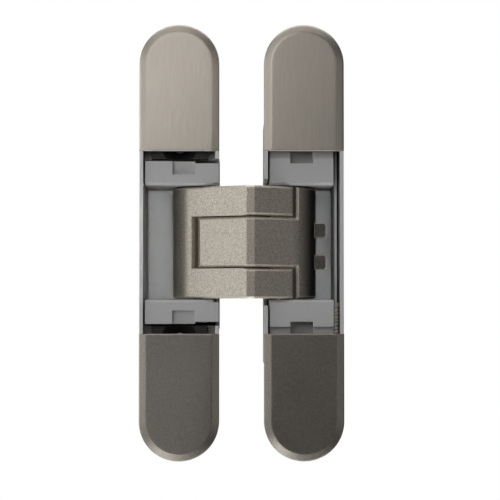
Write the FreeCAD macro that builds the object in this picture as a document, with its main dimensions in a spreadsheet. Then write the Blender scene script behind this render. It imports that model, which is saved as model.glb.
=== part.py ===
import FreeCAD, Part
import math
import os

import Sketcher

# Concealed door hinge, drawn open flat at 180 degrees, in millimetres.
# X runs from the frame leaf to the door leaf, Y goes into the leaves, Z is up.
# The visible faces of the four covers lie in the plane Y = 0.

DIMENSIONS = {
    # The two leaves
    "leaf_offset": 17.15,
    "housing_width": 21.8,
    "housing_length": 119.8,
    "housing_wall": 1.0,
    "housing_floor": 2.0,
    "back_round": 0.8,
    "rim_setback": 0.4,
    "end_depth": 8.4,
    "end_floor": 2.0,
    "recess_margin": 3.0,
    "mouth_margin": 1.5,
    "mouth_side_room": 0.15,
    "frame_end_room": 0.55,
    "door_end_room": 2.1,
    # The covers
    "cover_overhang": 0.1,
    "cover_start": 25.1,
    "cover_thickness": 2.4,
    "cover_bevel": 2.0,
    "cover_bevel_drop": 0.9,
    "rib_height": 2.4,
    "rib_width": 1.0,
    "rib_fit": 0.15,
    "rib_inset": 1.9,
    # The fixing plates
    "plate_thickness": 3.2,
    "frame_plate_side_room": 2.2,
    "door_plate_side_room": 2.7,
    "plate_end_room": 1.9,
    "frame_plate_inset": 0.1,
    "door_plate_inset": 2.4,
    "cover_screw_inset": 3.55,
    "cover_screw_radius": 1.65,
    "frame_hole_from_end": 7.0,
    "door_hole_inset": 5.4,
    "door_hole_from_end": 5.8,
    "fixing_hole_radius": 2.25,
    "countersink_radius": 5.0,
    # The linkage, seen from above
    "link_centre": 0.8,
    "pivot_span": 12.5,
    "pivot_depth": 15.5,
    "knee_depth": 0.0,
    "tip_reach": 11.8,
    "tip_angle": 29.0,
    # The two arms
    "arm_height": 30.8,
    "window_height": 14.4,
    "tongue_gap": 0.3,
    "ridge_shift": 1.6,
    "ridge_flat": 2.2,
    "ridge_rise": 4.6,
    "arm_side": 20.0,
    "arm_side_depth": 13.0,
    "arm_shoulder": 6.0,
    "shoulder_round": 10.2,
    "arm_back": 4.1,
    "back_flat": 2.4,
    "bar_angle": 21.5,
    "bar_inner_reach": 10.2,
    "tip_boss": 2.2,
    "prong_end": 13.6,
    "tongue_end": 12.8,
    "arm_bevel": 0.7,
    "barrel_radius": 4.2,
    "window_reach": 14.3,
    "base_reach": 14.6,
    "lug_height": 4.1,
    "lug_thickness": 1.8,
    "lug_depth": 9.7,
    "lug_reach": 22.8,
    "lug_upper": 3.6,
    "lug_lower": 5.3,
    "lug_root": 0.5,
    "lug_round": 0.8,
    "outer_bevel": 0.5,
    # Pins and bushes
    "pin_radius": 2.0,
    "bush_radius": 2.9,
    "bush_length": 8.0,
    "tip_pin_radius": 1.25,
    "fit_clearance": 0.03,
    "pin_recess": 0.2,
    "tip_pin_grip": 7.2,
    "tip_pin_gap": 0.4,
    # Tracks in the carriages for the tip pins
    "track_depth": 3.25,
    "track_forward": 1.55,
    "track_back": 1.9,
    "frame_track_shift": 0.75,
    "frame_track_half": 2.15,
    "door_track_shift": 0.25,
    "door_track_half": 1.8,
    # The two carriages
    "arm_clearance": 0.35,
    "block_front": 1.2,
    "block_bevel": 0.7,
    "frame_block_height": 6.65,
    "door_block_height": 13.25,
    "carriage_side_gap": 0.5,
    "back_plate": 2.2,
    "slide_gap": 0.1,
    "slide_room": 0.3,
    "step_room": 0.4,
    "ear_gap": 0.05,
    "ear_depth_gap": 1.4,
    "ear_step": 0.6,
    "notch_width": 6.2,
    "frame_notch_shift": 1.25,
    "frame_notch_height": 3.7,
    "frame_notch_depth": 1.3,
    "door_notch_shift": 0.6,
    "door_notch_rise": 6.05,
    "door_notch_depth": 4.2,
    "spindle_room": 1.75,
    "cheek_gap": 0.55,
    "cheek_thickness": 0.65,
    "cheek_front": 6.0,
    # Rear screws that hold the frame carriage in its housing
    "rear_screw_shift": 4.35,
    "rear_screw_radius": 2.0,
    "rear_screw_recess": 0.1,
    "rear_screw_grip": 5.0,
    "rear_screw_slot": 0.6,
    "rear_screw_slot_depth": 1.0,
    # Height adjustment of the door leaf
    "height_travel": 1.5,
    "spindle_radius": 1.1,
    "spindle_depth": 4.1,
    "spindle_side_gap": 0.15,
    "spindle_rise": 0.85,
    "spindle_tail": 3.0,
    "spindle_groove_clearance": 0.12,
    "spindle_slot": 0.4,
    "spindle_slot_depth": 0.8,
    "lug_wall": 0.55,
    "height_lug_width": 3.4,
    "height_lug_length": 1.4,
}

doc = FreeCAD.newDocument("hinge")
sheet = doc.addObject("Spreadsheet::Sheet", "sizes")
for row, (alias, number) in enumerate(DIMENSIONS.items(), start=1):
    sheet.set(f"A{row}", alias)
    sheet.set(f"B{row}", str(number))
    sheet.setAlias(f"B{row}", alias)
doc.recompute()



class Size:
    """A number that remembers the spreadsheet expression it came from."""

    def __init__(self, value, text):
        self.value = value
        self.text = text

    def __add__(self, other):
        other = as_size(other)
        return Size(self.value + other.value, f"({self.text} + {other.text})")

    def __sub__(self, other):
        other = as_size(other)
        return Size(self.value - other.value, f"({self.text} - {other.text})")

    def __mul__(self, other):
        other = as_size(other)
        return Size(self.value * other.value, f"({self.text} * {other.text})")

    def __truediv__(self, other):
        other = as_size(other)
        return Size(self.value / other.value, f"({self.text} / {other.text})")

    def __neg__(self):
        return Size(-self.value, f"(0 - {self.text})")


def as_size(number):
    return number if isinstance(number, Size) else Size(float(number), repr(float(number)))


def dim(alias):
    return Size(float(sheet.get(alias)), f"sizes.{alias}")


def cosine(angle):
    return Size(math.cos(math.radians(angle.value)), f"cos({angle.text})")


def sine(angle):
    return Size(math.sin(math.radians(angle.value)), f"sin({angle.text})")


def bind(item, name, number):
    """Tie a property to the spreadsheet."""
    item.setExpression(name, as_size(number).text)


def new_body(name):
    body = doc.addObject("PartDesign::Body", name)
    body.Label = name
    return body


def new_sketch(body, name, role, offset):
    """A sketch on one of the body's own origin planes, moved along the plane's normal."""
    plane = [item for item in body.Origin.OriginFeatures if item.Role == role][0]
    sketch = body.newObject("Sketcher::SketchObject", f"{body.Name}_{name}")
    sketch.AttachmentSupport = [(plane, "")]
    sketch.MapMode = "FlatFace"
    bind(sketch, "AttachmentOffset.Base.z", offset)
    return sketch


def front_sketch(body, name, depth):
    """A sketch seen from the front, X to the right and Z up, at a depth Y."""
    return new_sketch(body, name, "XZ_Plane", -as_size(depth))


def plan_sketch(body, name, height=0.0):
    """A sketch seen from above, X to the right and Y away, at a height Z."""
    return new_sketch(body, name, "XY_Plane", height)


def measure(sketch, kind, geometry, end, number):
    """Hold one end of a line or arc at a distance from the sketch's origin."""
    number = as_size(number)
    index = sketch.addConstraint(Sketcher.Constraint(kind, -1, 1, geometry, end, number.value))
    sketch.setExpression(f"Constraints[{index}]", number.text)


def place_point(sketch, geometry, end, x, y):
    measure(sketch, "DistanceX", geometry, end, x)
    measure(sketch, "DistanceY", geometry, end, y)


def draw_polygon(sketch, points):
    corners = [FreeCAD.Vector(as_size(x).value, as_size(y).value, 0) for x, y in points]
    first = sketch.GeometryCount
    count = len(corners)
    for i in range(count):
        sketch.addGeometry(Part.LineSegment(corners[i], corners[(i + 1) % count]), False)
    for i in range(count):
        following = first + (i + 1) % count
        sketch.addConstraint(Sketcher.Constraint("Coincident", first + i, 2, following, 1))
    for i, (x, y) in enumerate(points):
        place_point(sketch, first + i, 1, x, y)


def draw_rectangle(sketch, left, right, low, high):
    draw_polygon(sketch, [(left, low), (right, low), (right, high), (left, high)])


def draw_circle(sketch, x, y, radius):
    centre = FreeCAD.Vector(as_size(x).value, as_size(y).value, 0)
    up = FreeCAD.Vector(0, 0, 1)
    index = sketch.addGeometry(Part.Circle(centre, up, as_size(radius).value), False)
    place_point(sketch, index, 3, x, y)
    ring = sketch.addConstraint(Sketcher.Constraint("Radius", index, as_size(radius).value))
    sketch.setExpression(f"Constraints[{ring}]", as_size(radius).text)


def draw_round_end(sketch, x, foot, tip, half_width, side):
    """A strip with a straight foot and a half-round tip, side 1 upwards and -1 downwards."""
    middle = tip - half_width
    centre = FreeCAD.Vector(x.value, side * middle.value, 0)
    reach = FreeCAD.Vector(half_width.value, 0, 0)
    drop = FreeCAD.Vector(0, side * (foot.value - middle.value), 0)
    circle = Part.Circle(centre, FreeCAD.Vector(0, 0, 1), half_width.value)
    turn = 0 if side > 0 else math.pi
    first = sketch.addGeometry(Part.ArcOfCircle(circle, turn, turn + math.pi), False)
    begin = centre + reach * side
    end = centre - reach * side
    sketch.addGeometry(Part.LineSegment(end, end + drop), False)
    sketch.addGeometry(Part.LineSegment(end + drop, begin + drop), False)
    sketch.addGeometry(Part.LineSegment(begin + drop, begin), False)
    for i in range(4):
        following = first + (i + 1) % 4
        sketch.addConstraint(Sketcher.Constraint("Coincident", first + i, 2, following, 1))
    place_point(sketch, first, 3, x, middle * side)
    place_point(sketch, first, 1, x + half_width * side, middle * side)
    measure(sketch, "DistanceY", first, 2, middle * side)
    place_point(sketch, first + 1, 2, x - half_width * side, foot * side)
    place_point(sketch, first + 3, 1, x + half_width * side, foot * side)


def draw_stadium(sketch, x, low, high, half_width):
    """A strip with both ends half-round, low and high being the centres of the ends."""
    top = FreeCAD.Vector(x.value, high.value, 0)
    bottom = FreeCAD.Vector(x.value, low.value, 0)
    reach = FreeCAD.Vector(half_width.value, 0, 0)
    up = FreeCAD.Vector(0, 0, 1)
    first = sketch.GeometryCount
    upper = Part.Circle(top, up, half_width.value)
    lower = Part.Circle(bottom, up, half_width.value)
    sketch.addGeometry(Part.ArcOfCircle(upper, 0, math.pi), False)
    sketch.addGeometry(Part.LineSegment(top - reach, bottom - reach), False)
    sketch.addGeometry(Part.ArcOfCircle(lower, math.pi, 2 * math.pi), False)
    sketch.addGeometry(Part.LineSegment(bottom + reach, top + reach), False)
    for i in range(4):
        following = first + (i + 1) % 4
        sketch.addConstraint(Sketcher.Constraint("Coincident", first + i, 2, following, 1))
    place_point(sketch, first, 3, x, high)
    place_point(sketch, first, 1, x + half_width, high)
    measure(sketch, "DistanceY", first, 2, high)
    place_point(sketch, first + 2, 3, x, low)
    place_point(sketch, first + 2, 1, x - half_width, low)
    measure(sketch, "DistanceY", first + 2, 2, low)


def pad(body, sketch, length, way):
    """Material along the sketch's normal, against it, or half to each side of the sketch."""
    feature = body.newObject("PartDesign::Pad", f"{sketch.Name}_pad")
    feature.Profile = sketch
    bind(feature, "Length", length)
    feature.Midplane = way == "middle"
    feature.Reversed = way == "against"
    doc.recompute()
    return feature


def pocket(body, sketch, length, way):
    """A cut along the sketch's normal, against it, or half to each side of the sketch."""
    before = body.Shape.Volume
    feature = body.newObject("PartDesign::Pocket", f"{sketch.Name}_pocket")
    feature.Profile = sketch
    bind(feature, "Length", length)
    feature.Midplane = way == "middle"
    feature.Reversed = way == "along"
    doc.recompute()
    if not body.Shape.Volume < before - 1e-6:
        raise ValueError(f"{feature.Name} cuts nothing")
    return feature


def edges_where(body, test):
    """Names of the edges of the body whose end points all pass the test."""
    names = []
    for index, edge in enumerate(body.Shape.Edges, start=1):
        if all(test(vertex.Point) for vertex in edge.Vertexes):
            names.append(f"Edge{index}")
    return names


def round_edges(body, name, edges, radius):
    base = body.Tip
    feature = body.newObject("PartDesign::Fillet", f"{body.Name}_{name}")
    feature.Base = (base, edges)
    bind(feature, "Radius", radius)
    doc.recompute()
    return feature


def bevel_edges(body, name, edges, size):
    base = body.Tip
    feature = body.newObject("PartDesign::Chamfer", f"{body.Name}_{name}")
    feature.Base = (base, edges)
    bind(feature, "Size", size)
    doc.recompute()
    return feature


def near(value, target):
    return abs(value - target) < 1e-4


# Places that several parts share, all tied to the sheet
zero = as_size(0)
pivot_a_x = dim("link_centre") - dim("pivot_span")
pivot_b_x = dim("link_centre") + dim("pivot_span")
pivot_y = dim("pivot_depth")
knee_x = dim("link_centre")
knee_y = dim("knee_depth")
tip_y = knee_y + dim("tip_reach") * sine(dim("tip_angle"))
fork_tip_x = knee_x + dim("tip_reach") * cosine(dim("tip_angle"))
tongue_tip_x = knee_x - dim("tip_reach") * cosine(dim("tip_angle"))
plate_front_y = pivot_y + dim("barrel_radius") + dim("recess_margin")
floor_y = plate_front_y + dim("back_plate") + dim("slide_gap")
housing_depth = floor_y + dim("housing_floor")
mouth_y = pivot_y + dim("mouth_margin")
shelf_y = dim("end_depth") - dim("end_floor")
half_width = dim("housing_width") / 2
cavity_half = half_width - dim("housing_wall")
block_z = dim("arm_height") / 2 + dim("arm_clearance")
frame_block_end = block_z + dim("frame_block_height")
door_block_end = block_z + dim("door_block_height")
frame_deep = frame_block_end + dim("frame_end_room")
door_deep = door_block_end + dim("height_travel") + dim("door_end_room")
track_end = block_z + dim("track_depth")
plate_end = dim("housing_length") / 2 - dim("housing_wall") - dim("plate_end_room")
frame_plate_start = frame_deep + dim("frame_plate_inset")
door_plate_start = door_deep + dim("door_plate_inset")
leaf_sides = {"frame": -dim("leaf_offset"), "door": dim("leaf_offset")}
holes = {
    "frame": [(frame_plate_start + dim("cover_screw_inset"), dim("cover_screw_radius")),
              (plate_end - dim("frame_hole_from_end"), dim("fixing_hole_radius"))],
    "door": [(door_plate_start + dim("door_hole_inset"), dim("fixing_hole_radius")),
             (plate_end - dim("door_hole_from_end"), dim("fixing_hole_radius"))],
}
sides = {"upper": 1, "lower": -1}


# Housings: a long round-ended tray with a deep box behind its middle
def make_housing(leaf, deep, mouth_half):
    middle = leaf_sides[leaf]
    body = new_body(f"{leaf}_housing")
    outer_deep = deep + dim("housing_wall")
    tray_end = dim("housing_length") / 2 - half_width
    front = dim("rim_setback")
    sketch = front_sketch(body, "tray", front)
    draw_stadium(sketch, middle, -tray_end, tray_end, half_width)
    pad(body, sketch, dim("end_depth") - front, "against")
    sketch = front_sketch(body, "box", front)
    draw_rectangle(sketch, middle - half_width, middle + half_width, -outer_deep, outer_deep)
    pad(body, sketch, housing_depth - front, "against")
    back = edges_where(body, lambda p: near(p.y, housing_depth.value))
    round_edges(body, "back_edge", back, dim("back_round"))
    sketch = front_sketch(body, "tray_inside", front)
    draw_stadium(sketch, middle, -tray_end, tray_end, cavity_half)
    pocket(body, sketch, shelf_y - front, "against")
    sketch = front_sketch(body, "box_inside", front)
    draw_rectangle(sketch, middle - cavity_half, middle + cavity_half, -deep, deep)
    pocket(body, sketch, floor_y - front, "against")
    sketch = front_sketch(body, "cover_seat", front)
    for side in (1, -1):
        draw_rectangle(sketch, middle - dim("housing_width"), middle + dim("housing_width"),
                       dim("cover_start") * side, dim("housing_length") * side)
    pocket(body, sketch, dim("cover_thickness") - front, "against")
    sketch = front_sketch(body, "mouth", front)
    toward = 1 if leaf == "frame" else -1
    wall_in = middle + (cavity_half - dim("housing_wall")) * toward
    wall_out = middle + (half_width + dim("housing_wall")) * toward
    draw_rectangle(sketch, wall_in, wall_out, -mouth_half, mouth_half)
    pocket(body, sketch, mouth_y - front, "against")
    for index, (height, radius) in enumerate(holes[leaf]):
        if near(radius.value, dim("cover_screw_radius").value):
            continue
        sketch = front_sketch(body, f"holes_{index}", shelf_y)
        for side in (1, -1):
            draw_circle(sketch, middle, height * side, radius)
        pocket(body, sketch, dim("end_floor"), "against")
    return body


frame_housing = make_housing("frame", frame_deep, frame_deep)
door_housing = make_housing("door", door_deep,
                            block_z + dim("height_travel") + dim("mouth_side_room"))


# Fixing plates: round-ended strips with countersunk holes, lying on the housing's shelves
def make_plate(leaf, upper_or_lower, start, side_room):
    middle = leaf_sides[leaf]
    side = sides[upper_or_lower]
    body = new_body(f"{leaf}_plate_{upper_or_lower}")
    sketch = front_sketch(body, "outline", shelf_y)
    draw_round_end(sketch, middle, start, plate_end, cavity_half - side_room, side)
    pad(body, sketch, dim("plate_thickness"), "along")
    for index, (height, radius) in enumerate(holes[leaf]):
        sketch = front_sketch(body, f"hole_{index}", shelf_y - dim("plate_thickness"))
        draw_circle(sketch, middle, height * side, dim("countersink_radius"))
        cone = pocket(body, sketch, dim("plate_thickness"), "against")
        taper = (dim("countersink_radius") - radius) / dim("plate_thickness")
        bind(cone, "TaperAngle", Size(-math.degrees(math.atan(taper.value)),
                                      f"(0 deg - atan({taper.text}))"))
        doc.recompute()
    return body


for upper_or_lower in sides:
    make_plate("frame", upper_or_lower, frame_plate_start, dim("frame_plate_side_room"))
    make_plate("door", upper_or_lower, door_plate_start, dim("door_plate_side_room"))


# Covers: half-round caps with a soft bevel and two ribs that drop inside the housing
def make_cover(leaf, upper_or_lower, rib_foot):
    middle = leaf_sides[leaf]
    side = sides[upper_or_lower]
    body = new_body(f"{leaf}_cover_{upper_or_lower}")
    seat = dim("cover_thickness")
    cover_half = half_width + dim("cover_overhang")
    cover_tip = dim("housing_length") / 2 + dim("cover_overhang")
    sketch = front_sketch(body, "outline", seat)
    draw_round_end(sketch, middle, dim("cover_start"), cover_tip, cover_half, side)
    pad(body, sketch, seat, "along")
    foot = dim("cover_start").value
    rim = []
    for index, edge in enumerate(body.Shape.Edges, start=1):
        ends = [vertex.Point for vertex in edge.Vertexes]
        if all(near(p.y, 0) for p in ends) and not all(near(abs(p.z), foot) for p in ends):
            rim.append(f"Edge{index}")
    bevel = bevel_edges(body, "soft_bevel", rim, dim("cover_bevel_drop"))
    bevel.ChamferType = "Two distances"
    bind(bevel, "Size2", dim("cover_bevel"))
    doc.recompute()
    sketch = front_sketch(body, "ribs", seat)
    rib_x = cavity_half - dim("rib_fit")
    for hand in (1, -1):
        draw_rectangle(sketch, middle + (rib_x - dim("rib_width")) * hand, middle + rib_x * hand,
                       rib_foot * side, (cover_tip - cover_half) * side)
    pad(body, sketch, dim("rib_height"), "against")
    return body


spindle_end = door_deep + dim("housing_wall") + dim("spindle_tail")
for upper_or_lower in sides:
    make_cover("frame", upper_or_lower, dim("cover_start") + dim("rib_inset"))
    make_cover("door", upper_or_lower, spindle_end + dim("height_travel") + dim("step_room"))


# Carriages: a back plate with an upper and a lower block that hold the pins
def make_carriage(leaf, outer, block_side, end, seat_y, pivot_x):
    body = new_body(f"{leaf}_carriage")
    toward = 1 if leaf == "frame" else -1
    inner = (dim("leaf_offset") - cavity_half + dim("carriage_side_gap")) * -toward
    outer = outer * -toward
    block_side = block_side * -toward
    front = dim("block_front")
    sketch = front_sketch(body, "back_plate", seat_y)
    draw_rectangle(sketch, outer, inner, -end, end)
    pad(body, sketch, dim("back_plate"), "along")
    sketch = front_sketch(body, "blocks", front)
    for side in (1, -1):
        draw_rectangle(sketch, block_side, inner, block_z * side, end * side)
    pad(body, sketch, seat_y - front, "against")
    rims = []
    for index, edge in enumerate(body.Shape.Edges, start=1):
        ends = [vertex.Point for vertex in edge.Vertexes]
        if all(near(p.y, front.value) and near(abs(p.z), block_z.value) for p in ends):
            rims.append(f"Edge{index}")
    bevel_edges(body, "rim_bevel", rims, dim("block_bevel"))
    sketch = plan_sketch(body, "pin_bore")
    draw_circle(sketch, pivot_x, pivot_y, dim("pin_radius") + dim("fit_clearance"))
    pocket(body, sketch, end * 2, "middle")
    return body


def cut_notches(body, middle, low, high, depth):
    """A notch in the front of each block, low and high being its ends along the leaf."""
    sketch = front_sketch(body, "notches", dim("block_front"))
    half = dim("notch_width") / 2
    for side in (1, -1):
        draw_rectangle(sketch, middle - half, middle + half, low * side, high * side)
    pocket(body, sketch, depth, "against")


def cut_track(body, x, half):
    """The track in both blocks for the tip pins of the arm that is hinged to the other leaf."""
    sketch = plan_sketch(body, "track")
    draw_stadium(sketch, x, tip_y - dim("track_forward"), tip_y + dim("track_back"), half)
    pocket(body, sketch, track_end * 2, "middle")


front = dim("block_front")
frame_outer = dim("leaf_offset") + cavity_half - dim("carriage_side_gap")
frame_carriage = make_carriage("frame", frame_outer, frame_outer, frame_block_end, floor_y,
                               pivot_a_x)
notch_x = -dim("leaf_offset") + dim("frame_notch_shift")
notch_edge = notch_x + dim("notch_width") / 2
cut_notches(frame_carriage, notch_x, frame_block_end - dim("frame_notch_height"),
            frame_block_end + 1, dim("frame_notch_depth"))
# Beside the notches the blocks end a little sooner and carry ears through the housing's open side
sketch = front_sketch(frame_carriage, "ear_steps", front)
ear_end = frame_block_end - dim("ear_step")
for side in (1, -1):
    draw_rectangle(sketch, notch_edge, -(dim("leaf_offset") - half_width), ear_end * side,
                   (frame_block_end + 1) * side)
pocket(frame_carriage, sketch, plate_front_y - front, "against")
sketch = front_sketch(frame_carriage, "ears", front)
ear_root = -(dim("leaf_offset") - cavity_half + dim("carriage_side_gap"))
for side in (1, -1):
    draw_rectangle(sketch, ear_root, -(dim("leaf_offset") - half_width + dim("ear_gap")),
                   (block_z + dim("block_bevel")) * side, ear_end * side)
pad(frame_carriage, sketch, mouth_y - dim("ear_depth_gap") - front, "against")
cut_track(frame_carriage, tongue_tip_x - dim("frame_track_shift"), dim("frame_track_half"))

door_outer = dim("leaf_offset") + cavity_half - dim("cheek_gap")
block_side = dim("leaf_offset") + cavity_half - dim("spindle_room")
door_carriage = make_carriage("door", door_outer, block_side, door_block_end,
                              floor_y - dim("slide_gap"), pivot_b_x)
sketch = front_sketch(door_carriage, "cheek", dim("cheek_front"))
draw_rectangle(sketch, door_outer - dim("cheek_thickness"), door_outer, -door_block_end,
               door_block_end)
pad(door_carriage, sketch, plate_front_y - dim("cheek_front"), "against")
# Under the covers the blocks are lower, so that the leaf can be moved up and down over them
sketch = front_sketch(door_carriage, "steps", front)
for side in (1, -1):
    draw_rectangle(sketch, dim("leaf_offset") - cavity_half, door_outer,
                   (dim("cover_start") - dim("height_travel") - dim("step_room")) * side,
                   (door_block_end + 1) * side)
pocket(door_carriage, sketch, dim("cover_thickness") + dim("slide_room") - front, "against")
cut_notches(door_carriage, dim("leaf_offset") - dim("door_notch_shift"),
            block_z + dim("door_notch_rise"), door_block_end + 1, dim("door_notch_depth"))
cut_track(door_carriage, fork_tip_x + dim("door_track_shift"), dim("door_track_half"))

# Rear screws: headless, they hold the frame carriage in its housing from behind
screw_x = -(dim("leaf_offset") + dim("rear_screw_shift"))
screw_z = (block_z + frame_block_end) / 2
grip = dim("rear_screw_grip")
for body, depth, length in ((frame_housing, housing_depth, dim("housing_floor")),
                            (frame_carriage, floor_y, grip + dim("slide_room"))):
    sketch = front_sketch(body, "screw_holes", depth)
    for side in (1, -1):
        draw_circle(sketch, screw_x, screw_z * side,
                    dim("rear_screw_radius") + dim("fit_clearance"))
    pocket(body, sketch, length, "along")
for upper_or_lower, side in sides.items():
    body = new_body(f"carriage_screw_{upper_or_lower}")
    back = housing_depth - dim("rear_screw_recess")
    sketch = front_sketch(body, "rod", back)
    draw_circle(sketch, screw_x, screw_z * side, dim("rear_screw_radius"))
    pad(body, sketch, back - floor_y + grip, "along")
    sketch = front_sketch(body, "slot", back)
    reach = dim("rear_screw_radius") * 2
    slot_half = dim("rear_screw_slot") / 2
    draw_rectangle(sketch, screw_x - reach, screw_x + reach, screw_z * side - slot_half,
                   screw_z * side + slot_half)
    pocket(body, sketch, dim("rear_screw_slot_depth"), "along")

# Height screw: it turns in a groove of the lower block and lifts a lug of the door housing
spindle_x = dim("leaf_offset") + cavity_half - dim("spindle_side_gap") - dim("spindle_radius")
spindle_y = dim("spindle_depth")
spindle_start = block_z + dim("spindle_rise")
lug_front = spindle_y - dim("spindle_radius") - dim("lug_wall")
lug_end = -(door_deep + dim("housing_wall"))
lug_length = dim("height_lug_length") + dim("housing_wall")
sketch = front_sketch(door_housing, "height_lug", lug_front)
wall_x = dim("leaf_offset") + cavity_half
draw_rectangle(sketch, wall_x + dim("housing_wall") / 2 - dim("height_lug_width"),
               wall_x + dim("housing_wall") / 2, lug_end, lug_end + lug_length)
pad(door_housing, sketch, dim("end_depth") - lug_front, "against")
sketch = plan_sketch(door_housing, "height_thread", lug_end)
draw_circle(sketch, spindle_x, spindle_y, dim("spindle_radius") + dim("fit_clearance"))
pocket(door_housing, sketch, lug_length, "along")
sketch = plan_sketch(door_carriage, "spindle_groove", -block_z)
draw_circle(sketch, spindle_x, spindle_y,
            dim("spindle_radius") + dim("spindle_groove_clearance"))
pocket(door_carriage, sketch, dim("door_block_height"), "against")
body = new_body("height_screw")
sketch = plan_sketch(body, "rod", -spindle_start)
draw_circle(sketch, spindle_x, spindle_y, dim("spindle_radius"))
pad(body, sketch, spindle_end - spindle_start, "against")
sketch = plan_sketch(body, "slot", -spindle_start)
reach = dim("spindle_radius") * 2
slot_half = dim("spindle_slot") / 2
draw_rectangle(sketch, spindle_x - reach, spindle_x + reach, spindle_y - slot_half,
               spindle_y + slot_half)
pocket(body, sketch, dim("spindle_slot_depth"), "against")


# Arms: both are drawn over their full height and then opened for each other
def facet(side):
    """Slope of the front facet that falls to the given side, and the x of its upper edge."""
    edge_x = knee_x + dim("ridge_shift") + dim("ridge_flat") / 2 * side
    shoulder_x = knee_x + dim("arm_side") * side
    return (dim("arm_shoulder") + dim("ridge_rise")) / (shoulder_x - edge_x), edge_x


def facet_y(side, x):
    slope, edge_x = facet(side)
    return -dim("ridge_rise") + slope * (x - edge_x)


def arm_points(side, end, tip_x):
    """Outline of an arm whose base lies on the given side, seen from above."""
    near_edge = facet(side)[1]
    far_edge = facet(-side)[1]
    base_x = knee_x + dim("arm_side") * side
    pivot_x = knee_x + dim("pivot_span") * side
    far_x = knee_x - end * side
    back_y = dim("arm_back")
    bar_run = cosine(dim("bar_angle"))
    bar_rise = sine(dim("bar_angle"))
    return [
        (far_edge, -dim("ridge_rise")),
        (near_edge, -dim("ridge_rise")),
        (base_x, dim("arm_shoulder")),
        (base_x, dim("arm_side_depth")),
        (pivot_x + dim("barrel_radius") * (0.86 * side), pivot_y + dim("barrel_radius") * 0.5),
        (pivot_x, pivot_y),
        (pivot_x - dim("barrel_radius") * (0.73 * side), pivot_y - dim("barrel_radius") * 0.67),
        (knee_x + dim("window_reach") * bar_run * side, dim("window_reach") * bar_rise),
        (knee_x + dim("bar_inner_reach") * bar_run * side, dim("bar_inner_reach") * bar_rise),
        (knee_x + dim("back_flat") * side, back_y),
        (knee_x - dim("back_flat") * side, back_y),
        (tip_x + dim("tip_boss") * (0.62 * side), tip_y + dim("tip_boss") * 0.78),
        (tip_x - dim("tip_boss") * (0.99 * side), tip_y + dim("tip_boss") * 0.14),
        (far_x, facet_y(-side, far_x)),
    ]


def make_arm(name, side, end, tip_x):
    body = new_body(name)
    pivot_x = knee_x + dim("pivot_span") * side
    sketch = plan_sketch(body, "outline")
    draw_polygon(sketch, arm_points(side, end, tip_x))
    pad(body, sketch, dim("arm_height"), "middle")
    base_x = (knee_x + dim("arm_side") * side).value
    shoulder = edges_where(body, lambda p: near(p.x, base_x) and near(p.y, dim("arm_shoulder").value))
    round_edges(body, "shoulder", shoulder, dim("shoulder_round"))
    for label, x, y, radius in (("barrel", pivot_x, pivot_y, dim("barrel_radius")),
                                ("boss", tip_x, tip_y, dim("tip_boss"))):
        sketch = plan_sketch(body, label)
        draw_circle(sketch, x, y, radius)
        pad(body, sketch, dim("arm_height"), "middle")
    return body


def bore(body, name, x, y, radius):
    sketch = plan_sketch(body, name)
    draw_circle(sketch, x, y, radius)
    pocket(body, sketch, dim("arm_height"), "middle")


fork_arm = make_arm("fork_arm", -1, dim("prong_end"), fork_tip_x)
tongue_arm = make_arm("tongue_arm", 1, dim("tongue_end"), tongue_tip_x)

# The fork is open in the middle of its height, the tongue above and below
tongue_half = dim("window_height") / 2 - dim("tongue_gap")
sketch = plan_sketch(fork_arm, "window")
draw_circle(sketch, knee_x, knee_y, dim("window_reach"))
pocket(fork_arm, sketch, dim("window_height"), "middle")
rim_x = knee_x - dim("window_reach") + dim("arm_bevel") / 2
sketch = plan_sketch(fork_arm, "window_bevel")
bevel = dim("arm_bevel")
draw_polygon(sketch, [(rim_x - bevel, facet_y(-1, rim_x - bevel)),
                      (rim_x - bevel, facet_y(-1, rim_x - bevel) - bevel * 2),
                      (rim_x + bevel, facet_y(-1, rim_x - bevel) - bevel * 2),
                      (rim_x + bevel, facet_y(-1, rim_x - bevel) + bevel * 2)])
pocket(fork_arm, sketch, dim("window_height"), "middle")
for way, side in (("along", 1), ("against", -1)):
    sketch = plan_sketch(tongue_arm, f"open_{way}", tongue_half * side)
    draw_circle(sketch, knee_x, knee_y, dim("base_reach"))
    pocket(tongue_arm, sketch, dim("arm_height") / 2, way)

# Stop lugs on the outer side of the tongue arm
sketch = front_sketch(tongue_arm, "lugs", dim("lug_depth") - dim("lug_thickness") / 2)
for height in (dim("lug_upper"), -dim("lug_lower")):
    draw_rectangle(sketch, knee_x + dim("arm_side") - dim("lug_root"), knee_x + dim("lug_reach"),
                   height - dim("lug_height") / 2, height + dim("lug_height") / 2)
pad(tongue_arm, sketch, dim("lug_thickness"), "against")
lug_tip = (knee_x + dim("lug_reach")).value
corners = []
for index, edge in enumerate(tongue_arm.Shape.Edges, start=1):
    ends = [vertex.Point for vertex in edge.Vertexes]
    if all(near(p.x, lug_tip) for p in ends) and near(ends[0].z, ends[-1].z):
        corners.append(f"Edge{index}")
round_edges(tongue_arm, "lug_corners", corners, dim("lug_round"))


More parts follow.
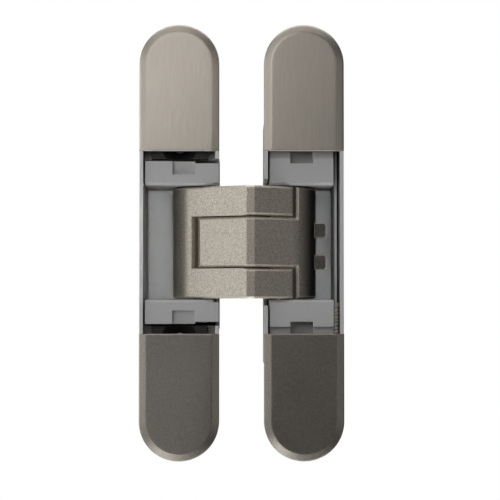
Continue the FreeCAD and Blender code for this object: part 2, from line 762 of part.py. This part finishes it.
# Bevels along the gaps between the fork and the tongue
def gap_edges(body, half_height, tongue_end_too=False):
    """Front edges of the facets at the gaps, and the upright ones at the ends of the facets."""
    names = []
    reach = dim("arm_shoulder").value / 2
    outer = dim("arm_height").value / 2
    ridge_x = (knee_x + dim("ridge_shift")).value
    for index, edge in enumerate(body.Shape.Edges, start=1):
        ends = [vertex.Point for vertex in edge.Vertexes]
        if not isinstance(edge.Curve, Part.Line) or any(p.y > reach for p in ends):
            continue
        heights = sorted(abs(p.z) for p in ends)
        level = near(heights[0], half_height) and near(heights[1], half_height)
        upright = near(ends[0].x, ends[1].x)
        beside = near(heights[0], half_height) and near(heights[1], outer)
        at_ridge = abs(ends[0].x - ridge_x) < dim("ridge_flat").value
        wanted = (level and (not upright or tongue_end_too)) or (beside and upright)
        if wanted and not (upright and at_ridge):
            names.append(f"Edge{index}")
    return names


def outer_edges(body):
    """Front edges of the facets and of the rounded shoulder at the top and bottom of an arm."""
    names = []
    outer = dim("arm_height").value / 2
    for index, edge in enumerate(body.Shape.Edges, start=1):
        ends = [vertex.Point for vertex in edge.Vertexes]
        if not near(ends[0].z, ends[-1].z) or not near(abs(ends[0].z), outer):
            continue
        if isinstance(edge.Curve, Part.Circle):
            wanted = near(edge.Curve.Radius, dim("shoulder_round").value)
        else:
            middle = (ends[0] + ends[-1]) / 2
            x = as_size(middle.x)
            wanted = near(middle.y, max(facet_y(1, x).value, facet_y(-1, x).value,
                                        -dim("ridge_rise").value))
        if wanted:
            names.append(f"Edge{index}")
    return names


bevel_edges(fork_arm, "gap_bevel", gap_edges(fork_arm, (dim("window_height") / 2).value),
            dim("arm_bevel"))
bevel_edges(tongue_arm, "gap_bevel", gap_edges(tongue_arm, tongue_half.value, True),
            dim("arm_bevel"))
for body in (fork_arm, tongue_arm):
    bevel_edges(body, "outer_bevel", outer_edges(body), dim("outer_bevel"))

for body, pivot_x, tip_x in ((fork_arm, pivot_a_x, fork_tip_x), (tongue_arm, pivot_b_x, tongue_tip_x)):
    bore(body, "bush_bore", pivot_x, pivot_y, dim("bush_radius") + dim("fit_clearance"))
    bore(body, "knee_bore", knee_x, knee_y, dim("pin_radius") + dim("fit_clearance"))
    bore(body, "tip_bore", tip_x, tip_y, dim("tip_pin_radius") + dim("fit_clearance"))


# Pins and bushes
def make_rod(name, x, y, middle, length, radius):
    body = new_body(name)
    sketch = plan_sketch(body, "rod", middle)
    draw_circle(sketch, x, y, radius)
    pad(body, sketch, length, "middle")
    return body


make_rod("fork_base_pin", pivot_a_x, pivot_y, zero, (frame_block_end - dim("pin_recess")) * 2,
         dim("pin_radius"))
make_rod("tongue_base_pin", pivot_b_x, pivot_y, zero, (door_block_end - dim("pin_recess")) * 2,
         dim("pin_radius"))
make_rod("middle_pin", knee_x, knee_y, zero, dim("arm_height") - dim("pin_recess") * 2,
         dim("pin_radius"))
tip_pin_end = track_end - dim("tip_pin_gap")
make_rod("tongue_tip_pin", tongue_tip_x, tip_y, zero, tip_pin_end * 2, dim("tip_pin_radius"))
pin_foot = dim("arm_height") / 2 - dim("tip_pin_grip")
for upper_or_lower, side in sides.items():
    make_rod(f"fork_tip_pin_{upper_or_lower}", fork_tip_x, tip_y,
             (pin_foot + tip_pin_end) / 2 * side, tip_pin_end - pin_foot, dim("tip_pin_radius"))
for arm, pivot_x in (("fork", pivot_a_x), ("tongue", pivot_b_x)):
    for upper_or_lower, side in sides.items():
        middle = (dim("arm_height") - dim("bush_length")) / 2 * side
        bush = make_rod(f"{arm}_bush_{upper_or_lower}", pivot_x, pivot_y, middle,
                        dim("bush_length"), dim("bush_radius"))
        bore(bush, "bore", pivot_x, pivot_y, dim("pin_radius") + dim("fit_clearance"))

# Move everything so that the middle of the whole hinge is the origin, check and write
parts = [item for item in doc.Objects if item.TypeId == "PartDesign::Body"]
for body in parts:
    bind(body, "Placement.Base.y", (dim("ridge_rise") - housing_depth) / 2)
doc.recompute()
for item in doc.Objects:
    if "Invalid" in item.State or "Error" in item.State:
        raise ValueError(f"{item.Name} is not valid: {item.State}")
os.makedirs("parts", exist_ok=True)
for body in parts:
    if body.Shape.isNull() or not body.Shape.isValid() or len(body.Shape.Solids) != 1:
        raise ValueError(f"{body.Label} is not one valid solid")
    body.Shape.exportStep(f"parts/{body.Label}.step")
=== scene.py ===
import bpy
import math
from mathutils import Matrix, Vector


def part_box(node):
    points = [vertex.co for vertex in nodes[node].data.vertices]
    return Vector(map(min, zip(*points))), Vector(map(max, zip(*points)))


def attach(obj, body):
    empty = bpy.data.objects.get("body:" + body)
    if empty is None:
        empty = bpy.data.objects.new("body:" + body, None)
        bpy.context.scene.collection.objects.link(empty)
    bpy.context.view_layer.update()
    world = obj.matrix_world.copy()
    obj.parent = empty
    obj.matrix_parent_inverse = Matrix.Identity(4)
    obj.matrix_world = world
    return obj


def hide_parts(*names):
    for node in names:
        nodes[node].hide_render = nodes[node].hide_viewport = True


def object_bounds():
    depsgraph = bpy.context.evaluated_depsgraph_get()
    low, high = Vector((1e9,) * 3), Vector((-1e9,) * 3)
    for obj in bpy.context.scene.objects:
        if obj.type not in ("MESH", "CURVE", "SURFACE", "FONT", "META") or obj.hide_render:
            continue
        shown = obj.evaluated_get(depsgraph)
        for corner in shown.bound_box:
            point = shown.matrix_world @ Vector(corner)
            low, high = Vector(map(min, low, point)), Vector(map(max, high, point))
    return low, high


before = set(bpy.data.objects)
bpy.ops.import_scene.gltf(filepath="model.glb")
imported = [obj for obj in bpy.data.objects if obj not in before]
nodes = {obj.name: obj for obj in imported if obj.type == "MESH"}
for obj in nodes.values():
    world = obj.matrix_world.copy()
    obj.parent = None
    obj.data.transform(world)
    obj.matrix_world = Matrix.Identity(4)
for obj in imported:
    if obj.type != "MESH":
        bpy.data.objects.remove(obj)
cad_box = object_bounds()
scene = bpy.context.scene

# Shared sizes in millimetres
MM = 0.001
arm_proud = 4.6  # the ridge of the arms stands this far in front of the covers
ridge_y = cad_box[0][1] / MM
face_y = ridge_y + arm_proud  # front of the covers

# Values that the surfaces share
NOISE_LOW = 0.3  # a noise stays mostly between these two
NOISE_HIGH = 0.7
CLOUD_SIZE = 20.0  # millimetres
CLOUD_ROUGHNESS = 0.02  # how much the roughness follows the clouds, up and down
GRAIN_ROUGHNESS = 0.03  # the same for the grain
# Metallic where the painted edge highlight is full
EDGE_HIGHLIGHT_METALLIC = 0.3
BLACK = (0, 0, 0, 1)
WHITE = (1, 1, 1, 1)


# Colours and nodes

def linear(code):
    """An sRGB hex colour as linear numbers."""
    values = [int(code[i:i + 2], 16) / 255 for i in (1, 3, 5)]
    return [v / 12.92 if v <= 0.04045 else ((v + 0.055) / 1.055) ** 2.4 for v in values] + [1.0]


def add_node(tree, kind, settings=None, **inputs):
    """Add a shader node. An input is a plain value, an output, or a node whose first output is linked.
    It goes by its name, or by its number as i0, i1 and so on where names repeat."""
    node = tree.nodes.new("ShaderNode" + kind)
    for name, value in (settings or {}).items():
        setattr(node, name, value)
    for name, value in inputs.items():
        numbered = name[0] == "i" and name[1:].isdigit()
        socket = node.inputs[int(name[1:]) if numbered else name.replace("_", " ")]
        if isinstance(value, bpy.types.Node):
            value = value.outputs[0]
        if isinstance(value, bpy.types.NodeSocket):
            tree.links.new(value, socket)
        else:
            socket.default_value = value
    return node


# Effects on a surface. A Mix node takes its two colours as inputs 6 and 7 and gives output 2

def in_millimetres(tree, stretch=(1, 1, 1)):
    """Object coordinates in millimetres, divided by a stretch along each axis."""
    place = add_node(tree, "TexCoord").outputs["Object"]
    return add_node(tree, "Mapping", Vector=place, Scale=[1 / MM / s for s in stretch])


def paint_root_shade(tree, tone, shade):
    """Painted shade: along +X, over the root of the tongue arm and its lugs, the colour falls to a share
    of what it is.
    """
    root_start = 14.0
    root_end = 19.5
    along = add_node(tree, "SeparateXYZ", i0=in_millimetres(tree)).outputs["X"]
    keep = add_node(tree, "MapRange", Value=along, From_Min=root_start, From_Max=root_end,
                    To_Min=1.0, To_Max=shade)
    return add_node(tree, "Mix", {"data_type": "RGBA"}, i0=keep, i6=BLACK, i7=tone).outputs[2]


def paint_rim_light(tree, tone, rim_light_colour):
    """Painted highlight: the first millimetre behind the front is lighter than the deeper walls of the
    recess.
    """
    rim_end = face_y + 0.9
    wall_start = face_y + 1.3
    depth = add_node(tree, "SeparateXYZ", i0=in_millimetres(tree)).outputs["Y"]
    wall = add_node(tree, "MapRange", Value=depth, From_Min=rim_end, From_Max=wall_start)
    return add_node(tree, "Mix", {"data_type": "RGBA"}, i0=wall, i6=linear(rim_light_colour), i7=tone).outputs[2]


def edge_highlight_share(tree, edge):
    """How much painted highlight a place gets, from 0 to 1. It is full where the rounded edge turns the
    surface by about 30 degrees."""
    highlight_start = 0.98  # cosine of the turn
    highlight_full = 0.85
    flat = add_node(tree, "NewGeometry").outputs["True Normal"]
    match = add_node(tree, "VectorMath", {"operation": "DOT_PRODUCT"}, i0=edge, i1=flat).outputs["Value"]
    return add_node(tree, "MapRange", Value=match, From_Min=highlight_start, From_Max=highlight_full)


def surface(name, colour, shade, roughness, grain, grain_depth, edge, stretch=(1, 1, 1),
            metallic=1.0, root_painted_shade=None, rim_light_colour=None, edge_highlight_colour=None):
    """A surface with a grain between two colours, faint clouds of roughness and rounded edges.
    The grain's width and depth and the radius of the edges are in millimetres."""
    material = bpy.data.materials.new(name)
    material.use_nodes = True
    tree = material.node_tree
    tree.nodes.clear()
    pits = add_node(tree, "TexNoise", i0=in_millimetres(tree, stretch), Scale=1 / grain, Detail=3.0,
                    Roughness=0.6)
    clouds = add_node(tree, "TexNoise", i0=in_millimetres(tree), Scale=1 / CLOUD_SIZE, Detail=2.0)
    height = add_node(tree, "MapRange", Value=pits, From_Min=NOISE_LOW, From_Max=NOISE_HIGH)
    tone = add_node(tree, "Mix", {"data_type": "RGBA"}, i0=height, i6=linear(shade),
                    i7=linear(colour)).outputs[2]
    # Painted shade over the root of the tongue arm and its lugs
    if root_painted_shade:
        tone = paint_root_shade(tree, tone, root_painted_shade)
    # Painted highlight along the front rim, lighter than the deeper walls
    if rim_light_colour:
        tone = paint_rim_light(tree, tone, rim_light_colour)
    edge_turn = add_node(tree, "Bevel", {"samples": 6}, Radius=edge * MM)
    # Painted highlight on the edges: paler and less metallic where the rounded edge turns the surface
    if edge_highlight_colour:
        edge_highlight = edge_highlight_share(tree, edge_turn)
        tone = add_node(tree, "Mix", {"data_type": "RGBA"}, i0=edge_highlight, i6=tone,
                        i7=linear(edge_highlight_colour)).outputs[2]
        metallic = add_node(tree, "MapRange", Value=edge_highlight, To_Min=metallic, To_Max=EDGE_HIGHLIGHT_METALLIC)
    broad = add_node(tree, "MapRange", Value=clouds, From_Min=NOISE_LOW, From_Max=NOISE_HIGH,
                     To_Min=roughness - CLOUD_ROUGHNESS, To_Max=roughness + CLOUD_ROUGHNESS)
    fine = add_node(tree, "MapRange", Value=pits, From_Min=NOISE_LOW, From_Max=NOISE_HIGH,
                    To_Min=-GRAIN_ROUGHNESS, To_Max=GRAIN_ROUGHNESS)
    rough = add_node(tree, "Math", i0=broad, i1=fine)
    bump = add_node(tree, "Bump", Strength=1.0, Distance=grain_depth * MM, Height=pits, Normal=edge_turn)
    shader = add_node(tree, "BsdfPrincipled", Base_Color=tone, Metallic=metallic, Roughness=rough,
                      Normal=bump)
    add_node(tree, "OutputMaterial", Surface=shader)
    return material


# Materials. Blasting leaves pits of about 0.1 mm and brushing leaves lines of about 0.04 mm. Both are
# too fine to show, so they are drawn about three times as wide

# Upper covers: satin nickel, brushed along the leaf before plating, so the grain is long and narrow.
# The eye sees a soft warm grey with faint upright lines.
upper_nickel = surface("satin_nickel_brushed", "#D2CABE", "#C4BCB1", roughness=0.42, grain=0.12,
                       grain_depth=0.001, edge=1.0, stretch=(1, 1, 40))

# Lower covers: the same plate, fine blasted after brushing, with a round grain. Its colour is a shade
# darker as painted shade, since less light falls on the lower covers.
lower_nickel = surface("satin_nickel_blasted_painted_shade", "#B6B0A7", "#999389", roughness=0.40, grain=0.3,
                       grain_depth=0.015, edge=0.6)

# Arms: satin nickel on blasted castings, so the grain is round and sparkles a little. The edges carry a
# painted highlight, pale and less metallic. The rough plating scatters some light, so it is a little less
# than a full metal.
fork_nickel = surface("satin_nickel_blasted", "#F2EADC", "#AEA79B", roughness=0.42, grain=0.35,
                      grain_depth=0.04, edge=0.45, metallic=0.85, edge_highlight_colour="#FFF8EC")

# Tongue arm: the same finish, with painted shade that darkens its root and the lugs.
tongue_nickel = surface("satin_nickel_blasted_painted_root_shade", "#F2EADC", "#AEA79B", roughness=0.42,
                        grain=0.35, grain_depth=0.04, edge=0.45, metallic=0.85, root_painted_shade=0.05,
                        edge_highlight_colour="#FFF8EC")

# Housings: zinc castings with a light plating, even and slightly dull, with a painted highlight along the
# rim.
housing_zinc = surface("cast_zinc_light", "#C8C8C6", "#BCBCBA", roughness=0.5, grain=0.35,
                       grain_depth=0.004, edge=0.2, metallic=0.5, rim_light_colour="#E6E6E4")

# Carriages: zinc castings, tumbled to a matt neutral grey that hardly mirrors.
carriage_zinc = surface("cast_zinc_grey", "#D2D2D2", "#C9C9C9", roughness=0.6, grain=0.3,
                        grain_depth=0.004, edge=0.25, metallic=0.2)

# Fixing plates: sheet steel with a dark passivated zinc coat, nearly black in the shade.
plate_steel = surface("dark_zinc_steel", "#454543", "#3B3B39", roughness=0.5, grain=0.25,
                      grain_depth=0.003, edge=0.15, metallic=0.6)

# Pins: ground and polished steel, with rings left round the axis by the grinding.
pin_steel = surface("ground_steel", "#BEBEBE", "#AFAFAF", roughness=0.25, grain=0.1,
                    grain_depth=0.001, edge=0.1, stretch=(8, 8, 1))

# Rear screws: zinc-plated steel, a bluish grey with a slightly cloudy plating.
screw_steel = surface("zinc_plated_steel", "#9C9C9E", "#858587", roughness=0.35, grain=0.2,
                      grain_depth=0.003, edge=0.1)

# Height screw: steel with a rolled thread, pale and satin, so the crests show against dark valleys.
thread_steel = surface("rolled_thread_steel", "#EAE6DA", "#D9D5C9", roughness=0.4, grain=0.1,
                       grain_depth=0.001, edge=0.05, metallic=0.4)

# Bushes and slide plates: moulded dark bearing plastic, smooth and faintly greasy. On the slide plates it
# also serves as painted shade in the gaps.
bush_plastic = surface("bearing_plastic", "#2B2A29", "#232221", roughness=0.38, grain=0.5,
                       grain_depth=0.002, edge=0.1, metallic=0.0)


def dress(material, *names):
    """Give a material to carried-over nodes."""
    for name in names:
        for slot in nodes[name].material_slots:
            slot.material = material


dress(upper_nickel, "frame_cover_upper", "door_cover_upper")
dress(lower_nickel, "frame_cover_lower", "door_cover_lower")
dress(fork_nickel, "fork_arm")
dress(tongue_nickel, "tongue_arm")
dress(housing_zinc, "frame_housing", "door_housing")
dress(carriage_zinc, "frame_carriage", "door_carriage")
dress(plate_steel, "frame_plate_upper", "frame_plate_lower", "door_plate_upper", "door_plate_lower")
dress(pin_steel, "fork_base_pin", "tongue_base_pin", "middle_pin", "tongue_tip_pin",
      "fork_tip_pin_upper", "fork_tip_pin_lower")
dress(screw_steel, "carriage_screw_upper", "carriage_screw_lower")
dress(bush_plastic, "fork_bush_upper", "fork_bush_lower", "tongue_bush_upper", "tongue_bush_lower")


# Pieces made here

def add_piece(name, points, faces, material):
    """A mesh object from points in millimetres."""
    mesh = bpy.data.meshes.new(name)
    mesh.from_pydata([[value * MM for value in point] for point in points], [], faces)
    mesh.materials.append(material)
    piece = bpy.data.objects.new(name, mesh)
    scene.collection.objects.link(piece)
    return piece


def upright_faces(count, start=0, storeys=1):
    """Faces of an upright shell whose rings of count points lie above each other, anticlockwise as
    seen from above. The rings' points are numbered from start on."""
    top = start + storeys * count
    faces = [tuple(reversed(range(start, start + count))), tuple(range(top, top + count))]
    for foot in range(start, top, count):
        for k in range(count):
            beside = (k + 1) % count
            faces.append((foot + k, foot + beside, foot + count + beside, foot + count + k))
    return faces


# Slide plates of dark bearing plastic lie in the gaps between the tongue and the prongs. As painted
# shade, they keep the gaps dark. They follow the outline of the tongue, a little inside it, and turn with
# it.
tongue_half = 6.9
prong_gap = 0.3
plate_thickness = 0.2
ridge_x = 2.4
slope = 0.61  # of the arms' front, back from the ridge to both sides
inset = 0.9
plate_reach = 8.0
plate_back = face_y + 3.6
play = (prong_gap - plate_thickness) / 2
outline = [(x, ridge_y + abs(x - ridge_x) * slope + inset) for x in (-plate_reach, ridge_x, plate_reach)]
outline += [(plate_reach, plate_back), (-plate_reach, plate_back)]
upper_foot = tongue_half + play
lower_foot = -upper_foot - plate_thickness
for name, foot in (("slide_plate_painted_shade_upper", upper_foot), ("slide_plate_painted_shade_lower", lower_foot)):
    points = [(x, y, z) for z in (foot, foot + plate_thickness) for x, y in outline]
    plate = add_piece(name, points, upright_faces(len(outline)), bush_plastic)
    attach(plate, "tongue")

# The height screw has the size of its CAD rod, with a real thread of 1 mm pitch, which is how far
# the door leaf moves in a turn, and a slot across its upper end.
rod_low, rod_high = (Vector(corner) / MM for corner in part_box("height_screw"))
axis = (rod_low + rod_high) / 2
rod_radius = (rod_high.x - rod_low.x) / 2
pitch = 1.0
thread_depth = 0.3
slot_depth = 0.8
slot_half = 0.2
sides = 32
steps_a_turn = 8
arc_points = 13
thread_top = rod_high.z - slot_depth
thread_length = thread_top - rod_low.z


def around(radius, angle, z):
    return axis.x + radius * math.cos(angle), axis.y + radius * math.sin(angle), z


def thread_ring(z):
    """Points round the rod at one height. A crest climbs by the pitch in each turn."""
    turns = [k / sides for k in range(sides)]
    depths = [thread_depth * abs(2 * ((z / pitch - turn) % 1.0) - 1) for turn in turns]
    return [around(rod_radius - depth, 2 * math.pi * turn, z) for turn, depth in zip(turns, depths)]


steps = round(thread_length / pitch * steps_a_turn)
points = []
for step in range(steps + 1):
    points += thread_ring(rod_low.z + thread_length * step / steps)
faces = upright_faces(sides, storeys=steps)

# Above the thread, one half round on each side of the slot
corner_angle = math.asin(slot_half / rod_radius)
half_turn = math.pi - 2 * corner_angle
for first in (corner_angle, math.pi + corner_angle):
    faces += upright_faces(arc_points, start=len(points))
    points += [around(rod_radius, first + half_turn * k / (arc_points - 1), z)
               for z in (thread_top, rod_high.z) for k in range(arc_points)]
rod = add_piece("threaded_rod", points, faces, thread_steel)
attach(rod, "lift_screw")
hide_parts("height_screw")

# Camera: in front, a little below the middle and slightly to the left. It looks at the plane of the
# covers, where the photograph shows 3.65 pixels to a millimetre.
distance = 450.0
pixels_a_millimetre = 3.65
picture_width = 500
lens_data = bpy.data.cameras.new("camera")
camera = bpy.data.objects.new("camera", lens_data)
scene.collection.objects.link(camera)
scene.camera = camera
eye = Vector((-1.0, face_y - distance, -16.0)) * MM
aim = Vector((2.3, face_y, -2.13)) * MM
camera.location = eye
camera.rotation_euler = (aim - eye).to_track_quat("-Z", "Y").to_euler()
lens_data.sensor_width = 36.0
lens_data.lens = lens_data.sensor_width * pixels_a_millimetre * distance / picture_width
lens_data.clip_start = 0.01


# Lights

def softbox(name, place, aim, size, radiance, beam=180):
    """An area light of a given brightness. Places, width and height are in millimetres, and beam is
    the angle in degrees over which it shines."""
    light = bpy.data.lights.new(name, "AREA")
    light.shape = "RECTANGLE"
    light.size = size[0] * MM
    light.size_y = size[1] * MM
    light.energy = radiance * math.pi * light.size * light.size_y
    light.spread = math.radians(beam)
    item = bpy.data.objects.new(name, light)
    scene.collection.objects.link(item)
    item.location = Vector(place) * MM
    item.rotation_euler = (Vector(aim) - Vector(place)).to_track_quat("-Z", "Y").to_euler()
    item.visible_camera = False


# A key softbox high on the left, a broad card on the left, a dim one on the right and one below
softbox("key", place=(-100, -290, 135), aim=(0, 0, 10), size=(220, 220), radiance=1.45)
softbox("left_card", place=(-330, -150, 0), aim=(0, 0, 0), size=(300, 320), radiance=0.54)
softbox("right_card", place=(250, -260, 0), aim=(0, 0, 0), size=(160, 300), radiance=0.43)
softbox("low_card", place=(-110, -200, -230), aim=(0, 0, 0), size=(160, 120), radiance=2.3)

# Narrow beams that lift the two left covers, the upper one mostly on its right bevel. A beam this
# narrow is strong, so its radiance is low.
softbox("upper_beam", place=(120, -280, 80), aim=(-20, face_y, 46), size=(24, 44), radiance=0.08, beam=6)
softbox("lower_beam", place=(-70, -290, -70), aim=(-21, face_y, -50), size=(24, 44), radiance=0.014,
        beam=6)

# Two small beams that reach down into the recesses
softbox("left_beam", place=(-23.6, -30, 0), aim=(-23.6, 0, 0), size=(7, 32), radiance=0.27, beam=7)
softbox("right_beam", place=(22.5, -30, 0), aim=(22.5, 0, 0), size=(5, 32), radiance=0.17, beam=6)

# White surroundings for the camera. The metal sees a dark room with a bright ceiling and floor
# above, below and behind it, a window far to the left and the pale backdrop behind the hinge.
room_level = 0.02
ceiling_level = 1.9
window_level = 1.8
backdrop_level = 0.35
world = bpy.data.worlds.new("surroundings")
scene.world = world
world.use_nodes = True
tree = world.node_tree
tree.nodes.clear()
direction = add_node(tree, "TexCoord").outputs["Generated"]
toward = add_node(tree, "SeparateXYZ", i0=direction).outputs
rise = add_node(tree, "Math", {"operation": "ABSOLUTE"}, i0=toward["Z"])
high_up = add_node(tree, "MapRange", Value=rise, From_Min=0.7, From_Max=0.85, To_Max=ceiling_level)
past_front = add_node(tree, "MapRange", Value=toward["Y"], From_Min=-0.5, From_Max=-0.2)
ceiling = add_node(tree, "Math", {"operation": "MULTIPLY"}, i0=high_up, i1=past_front)
window = add_node(tree, "MapRange", Value=toward["X"], From_Min=-0.85, From_Max=-1.0,
                  To_Min=room_level, To_Max=window_level)
backdrop = add_node(tree, "MapRange", Value=toward["Y"], From_Min=0.5, From_Max=0.9,
                    To_Min=room_level, To_Max=backdrop_level)
sides_level = add_node(tree, "Math", {"operation": "MAXIMUM"}, i0=window, i1=backdrop)
level = add_node(tree, "Math", {"operation": "MAXIMUM"}, i0=ceiling, i1=sides_level)
room = add_node(tree, "Background", Color=WHITE, Strength=level)
white = add_node(tree, "Background", Color=WHITE, Strength=1.0)
camera_ray = add_node(tree, "LightPath").outputs["Is Camera Ray"]
both = add_node(tree, "MixShader", i0=camera_ray, i1=room, i2=white)
add_node(tree, "OutputWorld", Surface=both)

scene.view_settings.view_transform = "Standard"
